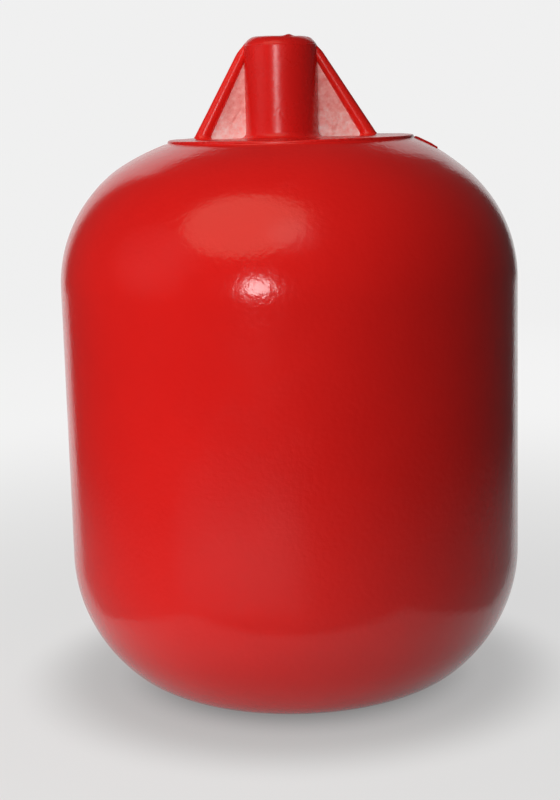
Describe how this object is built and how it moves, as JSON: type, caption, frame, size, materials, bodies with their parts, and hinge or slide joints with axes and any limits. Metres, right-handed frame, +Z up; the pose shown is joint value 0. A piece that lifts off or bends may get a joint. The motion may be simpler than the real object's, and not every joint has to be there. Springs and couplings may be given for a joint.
{
  "type": "cylindrical float",
  "caption": "Upright moulded float: a hollow round-shouldered cylinder with a ribbed neck on a flat head plate and an open tube through its axis for a rope or pole.",
  "frame": {"origin": "middle of the flat foot, on the ground", "axes": "+Z up along the tube's axis, +X to the right through the ribs, -Y towards the viewer of the picture"},
  "size_m": [0.3, 0.3, 0.4275],
  "materials": {
    "shell_plastic": "glossy, fine orange peel",
    "head_plastic": "glossy",
    "web_plastic": "pale, hazy and creased",
    "tube_plastic": "satin"
  },
  "bodies": {
    "root": {"float_shell": "shell_plastic", "head_plate": "head_plastic", "neck": "head_plastic", "left_rib": "head_plastic", "right_rib": "head_plastic", "left_web": "web_plastic", "right_web": "web_plastic", "centre_tube": "tube_plastic", "base_collar": "head_plastic", "vent_plug": "tube_plastic"}
  },
  "joints": []
}
